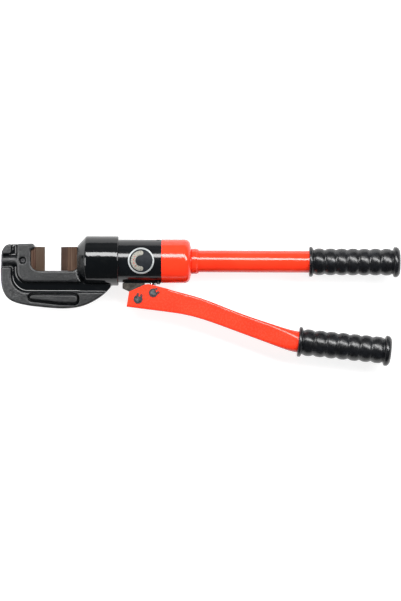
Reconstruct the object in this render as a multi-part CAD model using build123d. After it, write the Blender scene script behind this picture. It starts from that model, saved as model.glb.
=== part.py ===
from build123d import *
import math
import os

# Hand-pumped hydraulic bar cutter, lying on its flat side. Millimetres.
# +X runs along the cylinder towards the grips, +Y towards the open side of the C-shaped head,
# +Z out of the head's flat side. Every piece is drawn about the cylinder's own axis, and is
# moved by AXIS when it is written, so that the origin is under the middle of the whole tool.

AXIS = (0.0, 59.0, 37.5)   # where the cylinder's axis lies in the written frame

# Gaps
RUN = 0.05                 # radial clearance of a piece that slides or turns in another
PASS = 0.3                 # clearance of pieces that only pass each other

# Stations along the cylinder's axis
HEAD_BACK = -299.8         # back of the C
WALL_X = -254.2            # wall that the fixed blade leans on
FIXED_EDGE = -234.3        # cutting edge of the fixed blade
STROKE = 23.8              # travel of the ram
MOVING_EDGE = FIXED_EDGE + STROKE + 0.4
COLLAR_X = -185.0          # front face of the head's collar
CHAMBER_X = -168.0         # inner face of the collar's front wall
COLLAR_REAR = -123.2       # the cylinder shows from here
BORE_END = -92.5           # bottom of the cylinder's bore
BODY_REAR = -58.7          # black cylinder meets the red housing
SPIGOT_REAR = -46.0        # end of the cylinder's spigot inside the housing
HOUSING_REAR = -14.2
RING_REAR = -3.1
TUBE_FRONT = -26.5
TUBE_REAR = 294.0
GRIP_FRONT = 163.0

# Radii
COLLAR_R = 37.5
BODY_R = 32.5
HOUSING_R = 33.0
THREAD_R = 31.0            # screw thread between collar and cylinder, drawn plain
SPIGOT_R = 28.0
BORE_R = 25.0
RAM_R = 19.0
RING_R = 19.2
TUBE_R = 16.6
TUBE_WALL = 2.7

# C-shaped head
WEB_HALF = 12.0            # half thickness of the web between the two bands
RIM_HALF = 18.5            # outer band
BAND_HALF = 20.0           # inner band round the opening
THROAT_Y = -15.4           # bottom of the opening
LIP_Y = 20.6
LIP_EDGE = (-249.7, 17.4)  # where the lip starts to overhang the fixed blade
THROAT_CORNER_X = -242.2   # ends of the throat's flat floor
THROAT_END_X = -193.0
THROAT_SIDE_Y = -7.4       # where the throat's round corner meets the collar
WEB_END_X = -134.9         # the web ends here, inside the collar
INNER_BAND_X = -275.2
INNER_BAND_Y = -32.9
RIM_X = -283.2
RIM_Y = -47.4
CAST_EDGE = 1.8            # rounding of the casting's edges

# Blades
BLADE_HALF = 14.5
BLADE_LAND = 0.8           # half width of the blunt cutting edge
FIXED_BEVEL = 13.3
MOVING_BEVEL = 11.2

# Pump
FULCRUM = (-93.5, -57.3)
PLUNGER_PIN = (-70.8, -47.6)
PLUNGER_X = -71.5
PLUNGER_R = 5.0
PLUNGER_TOP = -6.5         # at rest; at full lift it stays just below the ports on the cylinder's axis
PUMP_TOP = 3.5             # closed end of the plunger's bore
PIN_R = 4.5
EYE_WALL = 3.2             # metal above and below the eye's slot
SLOT_X = PLUNGER_X + 0.6   # middle of the pin's sideways swing in the slot
SLOT_SWING = 2.9           # swing to each side
EYE_TOP = PLUNGER_PIN[1] + PIN_R + 0.15 + EYE_WALL
EYE_LOW = PLUNGER_PIN[1] - PIN_R - 0.65 - EYE_WALL
PAD_Y = -33.3              # ground pad under the cylinder
PAD_FRONT = -115.9
PAD_REAR = -59.5
PAD_HALF = 9.5
SPIGOT_X = -93.0           # spigot of the fulcrum lug in the pad
LUG_SCREW_X = -109.5
LUG_SCREW_Z = (-4.9, 4.9)
LUG_HEAD_Y = -39.2         # seat of the lug screws' heads
RELEASE_X = -63.5
RELEASE_Z = 7.5
PLATE_OUT = 13.5           # outside of the lever's side plates
PLATE_IN = 10.5            # inside of the lever's side plates
VALVE_R = 3.6              # valve pockets in the pump block
BALL_R = 3.0
SEAT_R = 1.5
SEAT_GAP = math.sqrt(BALL_R ** 2 - SEAT_R ** 2)   # from a seat's face to its ball's centre
RELIEF_Y = 14.0


def along_x(radius, x0, x1, y=0.0, z=0.0):
    """A round bar from x0 to x1."""
    bar = Cylinder(radius, x1 - x0, align=(Align.CENTER, Align.CENTER, Align.MIN))
    return Pos(x0, y, z) * Rot(0, 90, 0) * bar


def along_y(radius, y0, y1, x=0.0, z=0.0):
    """A round bar from y0 to y1."""
    bar = Cylinder(radius, y1 - y0, align=(Align.CENTER, Align.CENTER, Align.MIN))
    return Pos(x, y0, z) * Rot(-90, 0, 0) * bar


def along_z(radius, z0, z1, x=0.0, y=0.0):
    """A round bar from z0 to z1."""
    bar = Cylinder(radius, z1 - z0, align=(Align.CENTER, Align.CENTER, Align.MIN))
    return Pos(x, y, z0) * bar


def block(x0, x1, y0, y1, z0, z1):
    """A box between two corners."""
    return Pos(x0, y0, z0) * Box(x1 - x0, y1 - y0, z1 - z0, align=(Align.MIN, Align.MIN, Align.MIN))


def turned(points):
    """A solid turned about the cylinder's axis from a closed outline of (x, radius) points."""
    return revolve(make_face(Polyline(*points, close=True)), Axis.X, 360)


def ring(outer, inner, x0, x1):
    """A plain ring about the cylinder's axis."""
    return turned([(x0, inner), (x0, outer), (x1, outer), (x1, inner)])


def slab(face, half):
    """A flat outline given the same thickness on both sides of the axis."""
    return extrude(face, half, both=True)


def soft_slab(face, half, radius):
    """A slab whose outer edges are rounded."""
    plate = slab(face, half)
    return fillet(plate.faces().filter_by(Axis.Z).edges(), radius)


def coil(radius, wire, x0, x1, turns):
    """An open coil spring about the cylinder's axis, between x0 and x1."""
    height = x1 - x0 - 2 * wire
    path = Helix(pitch=height / turns, height=height, radius=radius)
    section = Plane(origin=path @ 0, z_dir=path % 0) * Circle(wire)
    return Pos(x0 + wire, 0, 0) * Rot(0, 90, 0) * sweep(section, path=path, is_frenet=True)


# ---------------------------------------------------------------- cutting head

def head_outline():
    """Side view of the C: throat, lip, back and belly, ending inside the collar."""
    throat_end = (COLLAR_X, THROAT_SIDE_Y)
    edge = Line((WEB_END_X, THROAT_SIDE_Y), throat_end)
    edge += ThreePointArc(throat_end, (-187.34, -13.06), (THROAT_END_X, THROAT_Y))
    edge += Line((THROAT_END_X, THROAT_Y), (THROAT_CORNER_X, THROAT_Y))
    edge += ThreePointArc((THROAT_CORNER_X, THROAT_Y), (-250.69, -11.89), (WALL_X, -3.4))
    lip = [(WALL_X, -3.4), (WALL_X, 16.0), LIP_EDGE, (-247.9, LIP_Y), (-251.2, 25.4), (-285.7, 24.5)]
    edge += Polyline(*lip)
    back = (HEAD_BACK, -2.0)
    edge += Spline(lip[-1], (-296.2, 17.6), back, tangents=[(-1, -0.03), (0, -1)])
    belly = [(-299.3, -27.0), (-296.6, -44.0), (-287.9, -57.6), (-269.9, -65.4), (-235.0, -70.3)]
    belly += [(-202.0, -71.9), (-171.0, -65.9), (-149.0, -53.4), (WEB_END_X, -39.6)]
    edge += Spline(back, *belly, tangents=[(0, -1), (0.66, 0.75)])
    edge += Line(belly[-1], (WEB_END_X, THROAT_SIDE_Y))
    return make_face(edge)


def corner_region(x0, y0, radius, x1, slope):
    """Everything above and right of a rounded corner; its right end leans by slope."""
    sides = Polyline((x0, 60.0), (x0, y0), (x1 + slope, y0), (x1, THROAT_Y + 8.0), (x1, 60.0), close=True)
    region = make_face(sides)
    corner = region.vertices().sort_by_distance((x0, y0, 0))[0]
    return fillet(corner, radius)


def island_face():
    """Outline of the long raised island in the outer band."""
    corners = [(-256.0, -51.6), (-184.2, -51.6), (-184.2, -64.3), (-212.0, -63.3), (-256.0, -58.4)]
    face = make_face(Polyline(*corners, close=True))
    ends = face.vertices().group_by(Axis.X)
    face = fillet(ends[0], 3.2)
    right = face.vertices().group_by(Axis.X)[-1]
    return fillet(right, 5.0)


def screw_boss(half_width, top):
    """Ridge with a round top on both flat sides, along the fixed blade's screw."""
    section = Plane(origin=(HEAD_BACK + 1.2, 0, 0), x_dir=(0, 0, 1), z_dir=(1, 0, 0))
    return extrude(section * SlotOverall(2 * top, 2 * half_width), INNER_BAND_X - HEAD_BACK)


def head_casting():
    outline = head_outline()
    inner = outline & corner_region(INNER_BAND_X, INNER_BAND_Y, 17.0, -188.5, 9.5)
    middle = corner_region(RIM_X, RIM_Y, 24.0, -120.0, 0.0)
    outer = outline - middle
    island = island_face()
    moat = offset(island, 3.0)
    notch = block(HEAD_BACK - 1, RIM_X + 1, -10.5, 10.0, 11.0, 30.0)
    rim = Part() + [soft_slab(face, RIM_HALF, CAST_EDGE) for face in outer.faces()]
    rim -= [notch, mirror(notch, Plane.XY)]
    rim -= slab(moat, 40.0)
    casting = slab(outline, WEB_HALF) + rim
    casting += soft_slab(inner, BAND_HALF, CAST_EDGE)
    casting += soft_slab(island, RIM_HALF, 1.2)
    return casting + screw_boss(7.6, RIM_HALF)


def collar():
    """Screwed collar with the hole for the ram; its hollow takes the front of the cylinder."""
    return turned([
        (COLLAR_X, RAM_R + RUN), (COLLAR_X, 23.6), (COLLAR_X + 1.4, 25.0), (-172.6, 37.0), (-171.0, COLLAR_R),
        (-126.4, COLLAR_R), (-126.0, 36.9), (-125.0, 36.9), (-124.6, COLLAR_R), (COLLAR_REAR - 0.8, COLLAR_R),
        (COLLAR_REAR, 36.7), (COLLAR_REAR, THREAD_R), (CHAMBER_X, THREAD_R), (CHAMBER_X, 21.5),
        (-175.0, 21.5), (-175.0, RAM_R + RUN), (-178.0, RAM_R + RUN), (-178.0, 22.0), (-182.0, 22.0),
        (-182.0, RAM_R + RUN),
    ])


def c_head():
    head = head_casting()
    head -= along_x(COLLAR_R - 2.0, -176.0, -120.0)
    head -= along_x(RAM_R + 3.0, COLLAR_X, -170.0)
    head -= along_x(RAM_R + PASS, COLLAR_X - STROKE - 2.0, COLLAR_X + 1.0)
    head += collar()
    head -= along_x(5.3, HEAD_BACK - 1, -291.5)
    head -= along_x(3.0, -292.0, WALL_X + 1)
    head -= along_z(4.8, 15.5, BAND_HALF + 1, x=-266.6)
    head -= along_z(3.0, 0.0, 16.0, x=-266.6)
    head -= along_y(2.5, -COLLAR_R - 1, -THREAD_R + 1, x=-130.0)
    return head


def blade(edge_x, bevel, back_x, face):
    """A blade whose cutting edge lies at edge_x, wedge-shaped in plan."""
    body = slab(face, BLADE_HALF)
    side = 1 if back_x > edge_x else -1
    wedge = Polyline((edge_x, BLADE_LAND), (edge_x + side * bevel, BLADE_HALF),
                     (edge_x + side * bevel, BLADE_HALF + 5), (edge_x - side * 5, BLADE_HALF + 5),
                     (edge_x - side * 5, BLADE_LAND), close=True)
    cutter = extrude(Plane.XZ * make_face(wedge), 60.0, both=True)
    return body - cutter - mirror(cutter, Plane.XY)


def fixed_blade():
    left = WALL_X
    edge = Polyline((THROAT_CORNER_X, THROAT_Y), (FIXED_EDGE, THROAT_Y), (FIXED_EDGE, LIP_Y),
                    (-247.9, LIP_Y), LIP_EDGE, (left, 16.0), (left, -3.4))
    edge += ThreePointArc((left, -3.4), (-250.69, -11.89), (THROAT_CORNER_X, THROAT_Y))
    shape = blade(FIXED_EDGE, FIXED_BEVEL, left, make_face(edge))
    return shape - along_x(3.0, WALL_X - 1, -244.0)


def moving_blade():
    """Its back corner is round so that it clears the throat's own round corner."""
    back = COLLAR_X - PASS
    low = THROAT_Y + PASS
    radius = THROAT_SIDE_Y - low
    corner = radius * math.sin(math.pi / 4)
    edge = Line((MOVING_EDGE, low), (THROAT_END_X, low))
    halfway = (THROAT_END_X + corner, THROAT_SIDE_Y - corner)
    edge += ThreePointArc((THROAT_END_X, low), halfway, (back, THROAT_SIDE_Y))
    edge += Polyline((back, THROAT_SIDE_Y), (back, LIP_Y), (MOVING_EDGE, LIP_Y), (MOVING_EDGE, low))
    shape = blade(MOVING_EDGE, MOVING_BEVEL, back, make_face(edge))
    return shape + along_x(8.0, back - 0.5, back + 14.0)


def fixed_blade_screw():
    screw = along_x(5.2, HEAD_BACK + 2.0, -291.5) + along_x(3.0, -292.0, -244.5)
    socket = Plane(origin=(HEAD_BACK + 1.9, 0, 0), z_dir=(1, 0, 0)) * RegularPolygon(2.6, 6)
    screw = screw - extrude(socket, 3.2)
    return screw - along_z(3.2, 2.5, 6.0, x=-266.6)


def grub_screw(radius, length):
    """A headless screw along +Z, its hexagonal socket at the top and its point at the origin."""
    screw = Cylinder(radius, length, align=(Align.CENTER, Align.CENTER, Align.MIN))
    socket = Pos(0, 0, length - radius) * RegularPolygon(radius * 0.55, 6)
    return screw - extrude(socket, radius + 1)


def blade_lock_screw():
    return Pos(-266.6, 0, 2.5) * grub_screw(3.0, 12.0)


def head_lock_screw():
    return Pos(-130.0, -THREAD_R, 0) * Rot(90, 0, 0) * grub_screw(2.5, 5.5)


# ---------------------------------------------------------------- ram and cylinder

def ram():
    """Piston and rod in one piece; the blade's shank sits in the rod's nose."""
    back = COLLAR_X - PASS
    shape = turned([(back, 8.0), (back, RAM_R - 0.6), (back + 0.6, RAM_R), (-114.0, RAM_R), (-114.0, 24.2),
                    (-113.2, BORE_R - RUN), (-105.0, BORE_R - RUN), (-105.0, 21.5), (-99.0, 21.5),
                    (-99.0, BORE_R - RUN), (-94.8, BORE_R - RUN), (-94.0, 24.2), (-94.0, 0.0),
                    (back + 14.0, 0.0), (back + 14.0, 8.0)])
    return shape - along_y(2.5, 5.0, RAM_R + 1, x=-176.0)


def moving_blade_screw():
    return Pos(-176.0, 8.0, 0) * Rot(-90, 0, 0) * grub_screw(2.5, 9.0)


def cylinder_body():
    """Cylinder in front and pump block behind, from one bar."""
    body = turned([(-167.0, BORE_R), (-167.0, THREAD_R - 0.8), (-166.2, THREAD_R), (COLLAR_REAR, THREAD_R),
                   (COLLAR_REAR, BODY_R), (BODY_REAR, BODY_R), (BODY_REAR, SPIGOT_R), (-51.0, SPIGOT_R),
                   (-51.0, 26.0), (-48.2, 26.0), (-48.2, SPIGOT_R), (SPIGOT_REAR, SPIGOT_R),
                   (SPIGOT_REAR, 0.0), (BORE_END, 0.0), (BORE_END, BORE_R)])
    pad = block(PAD_FRONT, PAD_REAR, PAD_Y, -28.0, -PAD_HALF, PAD_HALF)
    pad = fillet(pad.edges().filter_by(Axis.Y), 3.0)
    body += pad - along_x(BORE_R, -168.0, BORE_END)
    body -= pump_bores()
    body -= along_y(5.0, PAD_Y - 1, -28.5, x=SPIGOT_X)
    for z in LUG_SCREW_Z:
        body -= along_y(2.0, PAD_Y - 1, -27.0, x=LUG_SCREW_X, z=z)
    return body


def pump_bores():
    """Plunger bore, the three valve pockets on its axis and the release valve's passages."""
    cuts = along_y(PLUNGER_R + RUN, PAD_Y - 1, PUMP_TOP, x=PLUNGER_X)
    cuts += along_y(7.5, PAD_Y - 1, -27.0, x=PLUNGER_X)
    cuts += along_x(SEAT_R, -79.0, -66.0)
    cuts += along_x(VALVE_R, BORE_END - 1, -79.0)
    cuts += along_x(VALVE_R, -66.0, SPIGOT_REAR + 1)
    cuts += along_y(SEAT_R, 3.0, RELIEF_Y, x=PLUNGER_X)
    cuts += along_x(SEAT_R, PLUNGER_X, -66.0, y=RELIEF_Y)
    cuts += along_x(VALVE_R, -66.0, SPIGOT_REAR + 1, y=RELIEF_Y)
    cuts += along_y(3.2, -20.0, BODY_R, x=RELEASE_X, z=RELEASE_Z)
    cuts += along_y(SEAT_R + RUN, PAD_Y - 1, -20.0, x=RELEASE_X, z=RELEASE_Z)
    cuts += along_y(3.0, PAD_Y - 1, PAD_Y + 2.4, x=RELEASE_X, z=RELEASE_Z)
    cuts += along_x(1.2, BORE_END - 1, RELEASE_X, y=-14.0, z=RELEASE_Z)
    return cuts + along_x(1.2, RELEASE_X, SPIGOT_REAR + 1, y=-23.0, z=RELEASE_Z)


def badge():
    """Round foil badge bent to the cylinder."""
    foil = ring(BODY_R + 0.5, BODY_R, -112.0, -66.0)
    return foil & along_z(20.0, 10.0, 40.0, x=-89.0)


def seal_ring(outer, inner, x0, x1):
    """A rubber ring with rounded corners about the cylinder's axis."""
    body = ring(outer, inner, x0, x1)
    return fillet(body.edges(), min(outer - inner, x1 - x0) * 0.2)


# ---------------------------------------------------------------- pump

def plunger():
    rod = along_y(PLUNGER_R, EYE_TOP - EYE_WALL, PLUNGER_TOP, x=PLUNGER_X)
    return chamfer(rod.edges().sort_by(Axis.Y)[-1], 0.8)


def about_plunger(shape):
    """A ring drawn about the cylinder's axis, turned onto the plunger's."""
    return Pos(PLUNGER_X, 0, 0) * Rot(0, 0, 90) * shape


def plunger_eye():
    """Cast block on the plunger's foot; its slot lets the lever's pin swing sideways."""
    body = block(PLUNGER_X - 10.0, PLUNGER_X + 11.3, EYE_LOW, EYE_TOP, -PAD_HALF, PAD_HALF)
    body = fillet(body.edges().filter_by(Axis.Z), 2.2)
    middle = (EYE_TOP + EYE_LOW) / 2
    slot = Pos(SLOT_X, middle, 0) * SlotOverall(2 * (PIN_R + SLOT_SWING), EYE_TOP - EYE_LOW - 2 * EYE_WALL)
    body -= extrude(slot, 20.0, both=True)
    return body - along_y(PLUNGER_R, EYE_TOP - EYE_WALL, EYE_TOP + 1, x=PLUNGER_X)


def release_pin():
    stem = along_y(SEAT_R, -34.6, -20.5, x=RELEASE_X, z=RELEASE_Z)
    head = along_y(2.6, -35.0, PAD_Y - 0.1, x=RELEASE_X, z=RELEASE_Z)
    return stem + fillet(head.edges(), 0.3)


def fulcrum_lug():
    """Bracket that carries the lever's fulcrum pin, on a spigot in the ground pad."""
    x, y = FULCRUM
    front = x - 23.7
    side = [(front, PAD_Y), (front, -41.6), (x - 12.4, -46.6), (x - 8.3, -60.5), (x, y - 9.0),
            (x + 8.1, -61.0), (x + 9.5, -44.0), (x + 9.5, PAD_Y)]
    face = make_face(Polyline(*side, close=True))
    corners = [v for v in face.vertices() if v.Y < LUG_HEAD_Y]
    face = fillet(corners, 1.6)
    body = soft_slab(face, PAD_HALF, 0.8)
    body += along_z(9.0, -PAD_HALF, PAD_HALF, x, y)
    body += along_y(5.0, PAD_Y - 1, -29.0, x=SPIGOT_X)
    body -= along_z(PIN_R + RUN, -20.0, 20.0, x, y)
    for z in LUG_SCREW_Z:
        body -= along_y(2.0, -50.0, PAD_Y + 1, x=LUG_SCREW_X, z=z)
        body -= along_y(3.5, -50.0, LUG_HEAD_Y, x=LUG_SCREW_X, z=z)
    return body


def lug_screws():
    """Two socket screws up through the lug's foot into the cylinder's wall."""
    screws = []
    for z in LUG_SCREW_Z:
        screw = along_y(2.0, LUG_HEAD_Y, -27.2, x=LUG_SCREW_X, z=z)
        screw += along_y(3.3, LUG_HEAD_Y - 3.4, LUG_HEAD_Y, x=LUG_SCREW_X, z=z)
        socket = Plane(origin=(LUG_SCREW_X, LUG_HEAD_Y - 3.5, z), z_dir=(0, 1, 0)) * RegularPolygon(1.7, 6)
        screws.append(screw - extrude(socket, 2.0))
    return Compound(children=screws)


# ---------------------------------------------------------------- lever and handle

# Stations of the lever's closed outer shape: x, middle of the height, height, half width, corner radius
LEVER_STATIONS = [
    (-50.0, -58.9, 35.0, 13.5, 2.4), (-11.9, -67.4, 31.2, 13.5, 2.8), (24.1, -79.1, 30.2, 13.6, 3.0),
    (60.1, -92.6, 29.4, 14.0, 3.2), (96.1, -105.3, 30.3, 14.8, 3.8), (122.0, -114.2, 31.6, 15.5, 6.0),
]
LEVER_GRIP = (147.0, -120.5)
LEVER_SLOPE = -5.6
LEVER_GRIP_LENGTH = 141.0
LEVER_TUBE_R = 15.4
LEVER_END = (31.8, 15.7, 13.2)   # height, half width and corner radius of the shape where the grip starts
SHEET = 3.0                # thickness of the lever's pressed sheet


def lever_section(x, middle, height, half_width, corner):
    plane = Plane(origin=(x, middle, 0), x_dir=(0, 1, 0), z_dir=(1, 0, 0))
    return plane * RectangleRounded(height, 2 * half_width, corner)


def lever_cheeks():
    """Pump end of the lever in side view, as one closed block."""
    x, middle, height = LEVER_STATIONS[0][:3]
    side = Polyline((x, middle + height / 2), (-57.5, -39.6), (-72.7, -35.6), (-78.6, -34.6), (-82.5, -35.2),
                    (-107.2, -46.3), (-110.8, -68.9), (-86.9, -71.9), (x, middle - height / 2), close=True)
    cheeks = slab(make_face(side), PLATE_OUT)
    straight = cheeks.edges().filter_by(GeomType.LINE)
    low = [e for e in straight if e.center().Y < -68.9 and abs(e.center().Z) > 1]
    return fillet(low, 3.0)


def lever_end(shrink):
    """Section square to the grip, just in front of it; shrink makes it smaller all round."""
    height, half_width, corner = LEVER_END
    slope = math.radians(LEVER_SLOPE)
    along = (math.cos(slope), math.sin(slope), 0)
    across = (-math.sin(slope), math.cos(slope), 0)
    origin = (LEVER_GRIP[0] - 0.2 * along[0], LEVER_GRIP[1] - 0.2 * along[1], 0)
    plane = Plane(origin=origin, x_dir=across, z_dir=along)
    return plane * RectangleRounded(height - 2 * shrink, 2 * (half_width - shrink), corner - shrink)


def lever_hollow():
    """Inside of the closed part of the lever."""
    sections = []
    for x, middle, height, half_width, corner in LEVER_STATIONS[4:]:
        inside = max(corner - SHEET, 1.0)
        sections.append(lever_section(x, middle, height - 2 * SHEET, half_width - SHEET, inside))
    return loft(sections + [lever_end(SHEET)])


def lever():
    """Pressed from one sheet: an open channel round the pump, closing to a tube under the grip."""
    start = Pos(*LEVER_GRIP, 0) * Rot(0, 0, LEVER_SLOPE)
    shape = loft([lever_section(*station) for station in LEVER_STATIONS] + [lever_end(0.0)])
    shape += start * along_x(LEVER_TUBE_R, -2.0, LEVER_GRIP_LENGTH - 8.0)
    shape -= start * along_x(LEVER_TUBE_R - SHEET, -6.0, LEVER_GRIP_LENGTH - 6.0)
    shape -= lever_hollow()
    floor = [(-120.0, -67.2), (-86.9, -68.6)]
    floor += [(x, middle - height / 2 + SHEET) for x, middle, height, _, _ in LEVER_STATIONS[:5]]
    roof = [(LEVER_STATIONS[4][0] + 14.0, LEVER_STATIONS[4][1] + 24.0), (-120.0, -10.0)]
    channel = slab(make_face(Polyline(*floor, *roof, close=True)), PLATE_IN)
    shape = shape - channel + (lever_cheeks() - channel)
    for x, y in (FULCRUM, PLUNGER_PIN):
        shape -= along_z(PIN_R, -20.0, 20.0, x, y)
    return shape


def lever_pin(x, y):
    pin = along_z(PIN_R, -16.4, 16.4, x, y)
    pin = chamfer(pin.edges(), 0.5)
    groove = along_z(PIN_R + 1, 13.9, 15.1, x, y) - along_z(PIN_R - 0.3, 13.0, 16.0, x, y)
    return pin - groove - mirror(groove, Plane.XY)


def retaining_ring(x, y, turn):
    """Open ring in the pin's groove, with two eared ends for the pliers."""
    thick = 1.2
    body = Cylinder(6.7, thick) - Cylinder(PIN_R - 0.3, thick + 1)
    body -= Pos(5.7, 0, 0) * Box(6.0, 3.4, thick + 1)
    for side in (-1, 1):
        ear = Pos(7.0, side * 3.0, 0) * (Cylinder(1.8, thick) - Cylinder(0.75, thick + 1))
        body += ear - Cylinder(PIN_R - 0.3, thick + 1)
    return Pos(x, y, 14.5) * Rot(0, 0, turn) * body


def retaining_rings():
    rings = []
    for (x, y), turn in ((FULCRUM, 72.0), (PLUNGER_PIN, 28.0)):
        front = retaining_ring(x, y, turn)
        rings += [front, mirror(front, Plane.XY)]
    return Compound(children=rings)


def grip(length, bulbs, bore, pitch):
    """Moulded sleeve along +X from the origin: a collar at each end and round ribs between."""
    valley, crest, flange = 18.0, 20.2, 22.3
    first = 6.9
    edge = Polyline((0, bore), (0, flange - 1.6))
    edge += ThreePointArc((0, flange - 1.6), (1.0, flange), (2.6, flange))
    edge += ThreePointArc((2.6, flange), (5.2, flange - 0.8), (first, valley))
    for i in range(bulbs):
        a = first + i * pitch
        edge += ThreePointArc((a, valley), (a + pitch / 2, crest), (a + pitch, valley))
    last = first + bulbs * pitch
    edge += ThreePointArc((last, valley), (last + 1.6, flange - 0.8), (last + 4.0, flange + 0.2))
    edge += ThreePointArc((last + 4.0, flange + 0.2), (last + 8.2, flange - 0.6), (length - 1.2, 18.6))
    floor = length - 4.5
    edge += Polyline((length - 1.2, 18.6), (length, 16.0), (length, 0), (floor, 0), (floor, bore), (0, bore))
    return revolve(make_face(edge), Axis.X, 360)


def handle_grip():
    return Pos(GRIP_FRONT, 0, 0) * grip(136.8, 7, TUBE_R, 16.93)


def lever_grip():
    return Pos(*LEVER_GRIP, 0) * Rot(0, 0, LEVER_SLOPE) * grip(LEVER_GRIP_LENGTH, 7, LEVER_TUBE_R, 17.4)


def rear_housing():
    """Red cup over the pump block; its rounded shoulder carries the handle tube."""
    shoulder = (-25.0, HOUSING_R)
    edge = Polyline((BODY_REAR, SPIGOT_R), (BODY_REAR, HOUSING_R - 0.5),
                    (BODY_REAR + 0.5, HOUSING_R), shoulder)
    edge += ThreePointArc(shoulder, (-17.6, 30.0), (-15.2, 24.0))
    edge += Polyline((-15.2, 24.0), (HOUSING_REAR, 21.5), (HOUSING_REAR, TUBE_R), (-29.5, TUBE_R),
                     (-29.5, 10.0), (-33.0, 10.0), (-36.0, 26.0), (-44.0, 26.0), (-44.0, SPIGOT_R),
                     (BODY_REAR, SPIGOT_R))
    return revolve(make_face(edge), Axis.X, 360)


def lock_ring():
    return turned([(HOUSING_REAR, TUBE_R), (HOUSING_REAR, RING_R - 0.9), (-13.4, RING_R), (-6.0, RING_R),
                   (-5.4, RING_R - 0.7), (RING_REAR, RING_R - 0.9), (RING_REAR, TUBE_R)])


def handle_tube():
    return ring(TUBE_R, TUBE_R - TUBE_WALL, TUBE_FRONT, TUBE_REAR)


def bladder():
    """Closed rubber bag inside the handle tube."""
    bag = ring(12.9, 11.4, -20.0, 150.0)
    return bag + ring(12.9, 0.0, 149.0, 151.5)


def bladder_nipple():
    return turned([(-29.5, 8.0), (-29.5, TUBE_R), (TUBE_FRONT, TUBE_R), (TUBE_FRONT, 11.4), (0.0, 11.4),
                   (0.0, 5.0), (-28.3, 5.0), (-28.3, 8.0)])


def end_plug():
    return ring(TUBE_R - TUBE_WALL, 0.0, 282.0, TUBE_REAR) - along_x(1.0, 280.0, 296.0)


PIECES = {
    "c_head": c_head,
    "fixed_blade": fixed_blade,
    "fixed_blade_screw": fixed_blade_screw,
    "blade_lock_screw": blade_lock_screw,
    "head_lock_screw": head_lock_screw,
    "moving_blade": moving_blade,
    "moving_blade_screw": moving_blade_screw,
    "ram": ram,
    "piston_seal": lambda: seal_ring(BORE_R - 0.02, 21.5, -104.9, -101.2),
    "piston_backup_ring": lambda: ring(BORE_R - RUN, 21.5, -101.0, -99.1),
    "ram_wiper": lambda: seal_ring(22.0, RAM_R + RUN, -181.8, -178.2),
    "ram_bush": lambda: ring(21.5, RAM_R + RUN, -174.9, CHAMBER_X),
    "return_spring": lambda: coil(22.2, 1.7, CHAMBER_X, -114.0, 7),
    "cylinder_body": cylinder_body,
    "body_o_ring": lambda: seal_ring(SPIGOT_R, 26.0, -50.9, -48.3),
    "badge": badge,
    "rear_housing": rear_housing,
    "lock_ring": lock_ring,
    "handle_tube": handle_tube,
    "handle_grip": handle_grip,
    "tube_end_plug": end_plug,
    "oil_bladder": bladder,
    "bladder_nipple": bladder_nipple,
    "bladder_clamp": lambda: ring(13.4, 12.9, -15.0, -8.0),
    "oil_strainer": lambda: ring(8.0, 0.0, -29.3, -28.4),
    "fulcrum_lug": fulcrum_lug,
    "lug_screws": lug_screws,
    "plunger": plunger,
    "plunger_eye": plunger_eye,
    "plunger_seal": lambda: about_plunger(seal_ring(7.5, PLUNGER_R + RUN, -29.6, -27.1)),
    "plunger_gland": lambda: about_plunger(ring(7.5, PLUNGER_R + RUN, PAD_Y, -29.7)),
    "lever": lever,
    "lever_grip": lever_grip,
    "fulcrum_pin": lambda: lever_pin(*FULCRUM),
    "plunger_pin": lambda: lever_pin(*PLUNGER_PIN),
    "retaining_rings": retaining_rings,
    "delivery_ball": lambda: Pos(-79.0 - SEAT_GAP, 0, 0) * Sphere(BALL_R),
    "delivery_spring": lambda: coil(2.4, 0.35, -90.0, -79.0 - SEAT_GAP - 2.0, 4),
    "delivery_plug": lambda: ring(VALVE_R, SEAT_R, BORE_END, -90.0),
    "suction_ball": lambda: Pos(-54.0 - SEAT_GAP, 0, 0) * Sphere(BALL_R),
    "suction_spring": lambda: coil(2.4, 0.35, -66.0, -54.0 - SEAT_GAP - 2.0, 4),
    "suction_seat": lambda: ring(VALVE_R, SEAT_R, -54.0, SPIGOT_REAR),
    "relief_ball": lambda: Pos(-66.0 + SEAT_GAP, RELIEF_Y, 0) * Sphere(BALL_R),
    "relief_spring": lambda: Pos(0, RELIEF_Y, 0) * coil(2.4, 0.35, -66.0 + SEAT_GAP + 2.0, -54.0, 4),
    "relief_adjuster": lambda: Pos(-54.0, RELIEF_Y, 0) * Rot(0, 90, 0) * grub_screw(VALVE_R, 7.0),
    "release_pin": release_pin,
    "release_ball": lambda: Pos(RELEASE_X, -20.0 + SEAT_GAP, RELEASE_Z) * Sphere(BALL_R),
    "release_spring": lambda: Pos(RELEASE_X, 0, RELEASE_Z) * Rot(0, 0, 90) * coil(2.4, 0.35, -15.4, -2.0, 6),
    "release_plug": lambda: Pos(RELEASE_X, -2.0, RELEASE_Z) * Rot(-90, 0, 0) * grub_screw(3.2, 31.5),
}

os.makedirs("parts", exist_ok=True)
for name, make in PIECES.items():
    export_step(Pos(*AXIS) * make(), f"parts/{name}.step")
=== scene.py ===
import math

import bmesh
import bpy
from bpy.props import FloatProperty, FloatVectorProperty, IntProperty, PointerProperty
from bpy.types import Operator, Panel, PropertyGroup
from mathutils import Euler, Matrix, Vector
from mathutils import noise as mathnoise


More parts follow.
